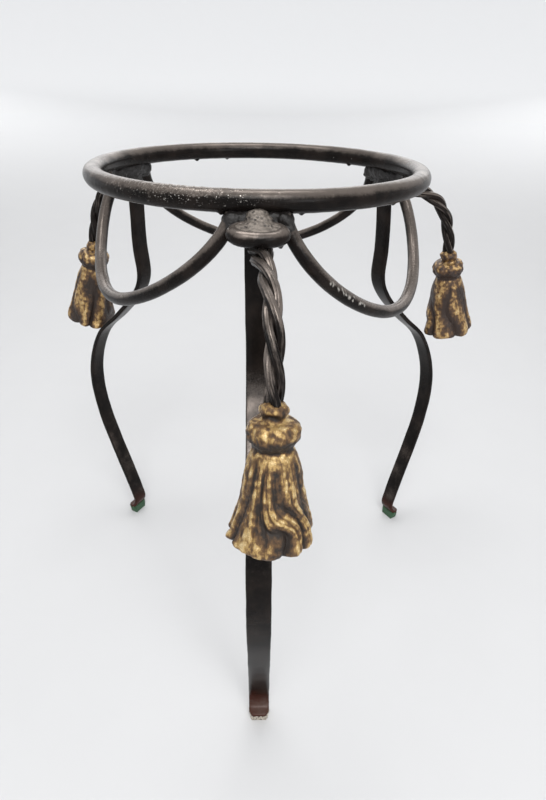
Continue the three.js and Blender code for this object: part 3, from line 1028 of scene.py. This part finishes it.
def tasselFolds(turn, down, station):
    # Height of the cast folds, 0 in the grooves and about 1 on the crests, and how deep they are.
    # Down goes from 0 under the ball to 1 at the hem.
    shape = tasselShape
    warped = turn + 0.16 * np.sin(2 * turn + 0.6) + 0.07 * np.sin(5 * turn + 2)
    swirl = 0.78 * smoothStep(down, 0.42, 0.80) * hump(turn, 38, 95)
    swirl = swirl + 0.5 * smoothStep(down, 0.5, 0.9) * hump(turn, 190, 110)
    swirl = swirl - 0.16 * smoothStep(down, 0.2, 0.9) * hump(turn, -60, 70)
    phase = (warped - swirl) * station["folds"] / (2 * math.pi)
    broad = np.abs(np.cos(math.pi * (phase + 0.20 * np.sin(down * 5 + 3 * turn)))) ** 0.75
    finePhase = (warped - swirl * 0.9 + 0.05 * np.sin(down * 9)) * shape["fineFolds"] / (2 * math.pi)
    fine = np.abs(np.cos(math.pi * finePhase)) ** 0.8
    hairTurn = warped - swirl * 0.95 + 0.03 * np.sin(down * 14 + 2 * turn)
    hair = np.abs(np.cos(math.pi * (hairTurn * shape["hairFolds"] / (2 * math.pi))))
    depth = 0.9 + 2.5 * smoothStep(down, 0.2, 0.95)
    start = smoothStep(down, 0.02, 0.2)
    strips = station["strips"] * (1 - 0.7 * smoothStep(down, 0.7, 1.0))
    crest = broad * (0.62 + 0.38 * (1 - strips)) + (fine * 0.27 + hair * 0.11) * strips
    return crest * start + 0.9 * (1 - start), depth


def tasselProfile():
    # Radius and distance down from the knob's top.
    shape = tasselShape
    ball, hem, length, middle = shape["ball"] / 2, shape["hem"] / 2, shape["length"], shape["ballMiddle"]
    knob = [(0, 0), (2.9, 0.4), (4.9, 2.2), (5.3, 4.4), (4.5, 6.5), (5.2, 7.5)]
    waist = [
        (ball * 0.80, middle - 4.3), (ball * 0.97, middle - 2.2), (ball, middle),
        (ball * 0.95, middle + 2.6), (ball * 0.80, middle + 4.7), (ball * 0.74, middle + 5.9),
        (ball * 0.82, middle + 7.6),
    ]
    skirt = [
        (hem * 0.62, length * 0.42), (hem * 0.73, length * 0.58), (hem * 0.83, length * 0.74),
        (hem * 0.96, length * 0.88), (hem, length * 0.955), (hem * 0.95, length * 0.99),
    ]
    dish = [
        (hem * 0.84, length * 0.995), (hem * 0.62, length - 3.4), (hem * 0.3, length - 5.2),
        (0, length - 5.6),
    ]
    return smoothLine([(out, down, 0) for out, down in knob + waist + skirt + dish], shape["spacing"])


def tasselSkin(station, seed):
    # Points of the casting hanging straight down from its knob, with how much gold each one shows; the
    # grooves, the knob's crease and the underside of the ball are painted darker as shade.
    shape = tasselShape
    length, middle = shape["length"], shape["ballMiddle"]
    curve = tasselProfile()
    turn = np.linspace(-math.pi, math.pi, shape["sides"], endpoint=False)
    turns = np.repeat(turn[None], len(curve), axis=0)
    radius = np.repeat(np.maximum(curve[:, 0], 0.02)[:, None], shape["sides"], axis=1)
    down = np.repeat(curve[:, 1][:, None], shape["sides"], axis=1)
    hemRow = np.argmax(curve[:, 1] > length * 0.985)
    outer = 1 - smoothStep(np.arange(len(curve)), hemRow, hemRow + 22)[:, None]
    skirt = smoothStep(down, middle + 5.4, middle + 9)
    share = np.clip((down - middle - 6) / (length - middle - 6), 0, 1)
    crest, depth = tasselFolds(turns, share, station)
    flip = hump(turns, shape["flipAt"], shape["flipWidth"])
    radius = radius + (crest - 0.78) * depth * skirt * outer * np.clip(radius / 6, 0, 1)
    radius = radius + flip * smoothStep(share, 0.84, 0.99) * outer * 2.2
    hemWave = 0.5 * np.sin(2 * turns + 0.8) + 0.35 * np.sin(5 * turns + 2) - 0.8
    down = down + (hemWave - 0.6 * flip + (crest - 0.8) * 0.25) * smoothStep(share, 0.86, 1.0)
    away = np.stack([np.cos(turns), np.sin(turns), 0 * turns], axis=-1).reshape(-1, 3)
    points = np.stack([radius * np.cos(turns), radius * np.sin(turns), -down], axis=-1).reshape(-1, 3)
    top = (1 - skirt).reshape(-1)
    lumpy = grain(points, 4.6, seed + 90) * (0.35 + 0.75 * top)
    lumpy = lumpy + grain(points, 1.5, seed + 95) * (0.18 + 0.16 * top)
    across = (np.degrees(turns) - shape["creaseAt"]) / shape["creaseWidth"]
    crease = np.exp(-(across**2 + ((down - 5.2) / 1.1) ** 2)).reshape(-1) * 1.5
    shrink = np.clip(radius.reshape(-1) / 2.5, 0, 1)
    points = points + away * ((lumpy - crease) * shrink)[:, None]
    # Painted shade under the ball: the relief is cut where the neck tucks in.
    under = smoothStep(down, middle - 1.2, middle + 4.0) * (1 - smoothStep(down, middle + 4.8, middle + 7.0))
    relief = (crest * skirt + (1 - skirt) * 0.80) * outer * (1 - 0.85 * under)
    worn = grain(points, 2.2, seed + 99) * (0.25 + 0.17 * top)
    # The knob's crease is painted darker as shade; the grain adds uneven wear.
    return points, np.clip(relief.reshape(-1) - crease * 0.7 + worn, 0, 1)


def buildTassel(station, seed):
    node = f"tassel_{station['name']}"
    points, relief = tasselSkin(station, seed)
    knobTop, _ = hang(station)
    leaning = turned(turned(points, station["turn"], 0, 1), station["tilt"], 0, 2)
    points = placed(leaning + knobTop, station["angle"])
    here = np.arange(len(points)).reshape(-1, tasselShape["sides"])
    faces = gridFaces(wrapped(here)) + [tuple(here[0]), tuple(here[-1][::-1])]
    marks = {"relief": relief, "tarnish": np.full(len(points), station["tarnish"])}
    addPiece(f"tassel.{station['name']}", (points, faces, marks), goldLeaf, node)


for seed, station in enumerate(stations):
    buildRope(station, seed)
    buildTassel(station, seed)
print("ropes and tassels made")


floorLook = {
    "radius": 5.0,       # metres, like all sizes from here on
    "flat": 0.9,
    "rise": 3.0,
    "sides": 96,
    "shade": (0.62, 0.62, 0.625),
    "wall": (0.85, 0.855, 0.86),
    "glow": (0.26, 0.26, 0.265),
    "glowFrom": 0.3,     # the height where the wall has its full colour and glow
    "cloudSize": 60,     # in millimetres, like all noise sizes
}


def floorMaterial():
    look = floorLook
    material, flow, shader = newMaterial("paleFloor", Roughness=0.6, Emission_Strength=1)
    cloud = flow.noise(look["cloudSize"], detail=2)
    ground = flow.mix(cloud, tuple(c * 0.97 for c in look["shade"]), look["shade"])
    climb = heightAbove(flow).between(0.0, look["glowFrom"])
    plug(
        flow, shader,
        Base_Color=flow.mix(climb, ground, look["wall"]),
        Emission_Color=flow.mix(climb, (0, 0, 0), look["glow"]),
    )
    return material


def buildFloor():
    # A round pale sweep: flat in the middle and rising at its edge.
    look = floorLook
    flat, radius, sides = look["flat"], look["radius"], look["sides"]
    rings = np.concatenate([np.linspace(0.02, flat, 6), np.linspace(flat, radius, 26)[1:]])
    points = [(0, 0, 0)]
    for ring in rings:
        climb = max(0, (ring - flat) / (radius - flat)) * math.pi / 2
        height = look["rise"] * (1 - math.cos(climb))
        for turn in np.linspace(0, 2 * math.pi, sides, endpoint=False):
            points.append((ring * math.cos(turn), ring * math.sin(turn), height))
    grid = wrapped(np.arange(1, len(points)).reshape(-1, sides))
    faces = gridFaces(grid) + [(0, a, b) for a, b in zip(grid[0], grid[0][1:])]
    mesh = bpy.data.meshes.new("floor")
    mesh.from_pydata(points, [], faces)
    mesh.shade_smooth()
    mesh.materials.append(floorMaterial())
    floor = bpy.data.objects.new("floor", mesh)
    bpy.context.scene.collection.objects.link(floor)


lightSet = {
    "world": (0.97, 0.985, 1.0),
    "worldPower": 0.52,
    "aim": (0, 0, 0.15),
    "boxes": [
        {"name": "overhead", "place": (-0.1, 0.25, 1.35), "size": (0.8, 0.45), "watts": 5},
        {"name": "behind", "place": (0.0, 1.5, 0.9), "size": (2.2, 0.9), "watts": 8},
        {"name": "front", "place": (0.05, -0.85, 1.25), "size": (0.75, 0.65), "watts": 12},
        {"name": "low", "place": (0.6, -1.1, 0.6), "size": (0.4, 0.4), "watts": 3},
    ],
}


def buildLights():
    world = bpy.data.worlds.new("softLight")
    bpy.context.scene.world = world
    world.use_nodes = True
    background = world.node_tree.nodes["Background"]
    background.inputs["Color"].default_value = (*lightSet["world"], 1)
    background.inputs["Strength"].default_value = lightSet["worldPower"]
    for box in lightSet["boxes"]:
        light = bpy.data.lights.new(box["name"], "AREA")
        light.shape = "RECTANGLE"
        light.size, light.size_y = box["size"]
        light.energy = box["watts"]
        holder = bpy.data.objects.new(box["name"], light)
        holder.location = box["place"]
        ahead = Vector(lightSet["aim"]) - Vector(box["place"])
        holder.rotation_euler = ahead.to_track_quat("-Z", "Y").to_euler()
        bpy.context.scene.collection.objects.link(holder)


cameraSet = {
    "before": 0.32578,   # in front of the ring's axis
    "height": 0.33013,
    "down": 29.68,       # degrees
    "pan": 1.79,
    "roll": 1.18,
    "focal": 26.1,
    "sensor": 36,
}


def buildCamera():
    look = cameraSet
    down, pan, roll = (math.radians(look[key]) for key in ("down", "pan", "roll"))
    ahead = Vector((math.sin(pan) * math.cos(down), math.cos(pan) * math.cos(down), -math.sin(down)))
    right = Vector((math.cos(pan), -math.sin(pan), 0))
    up = right.cross(ahead)
    across = right * math.cos(roll) + up * math.sin(roll)
    upright = up * math.cos(roll) - right * math.sin(roll)
    camera = bpy.data.cameras.new("camera")
    camera.lens = look["focal"]
    camera.sensor_width = look["sensor"]
    camera.clip_start = 0.01
    holder = bpy.data.objects.new("camera", camera)
    axes = Matrix((across, upright, -ahead)).transposed().to_4x4()
    place = Vector((ringX * mm, ringY * mm - look["before"], look["height"]))
    holder.matrix_world = Matrix.Translation(place) @ axes
    bpy.context.scene.collection.objects.link(holder)
    bpy.context.scene.camera = holder


buildFloor()
buildLights()
buildCamera()
bpy.context.scene.view_settings.view_transform = "Standard"
print("floor, lights and camera made")
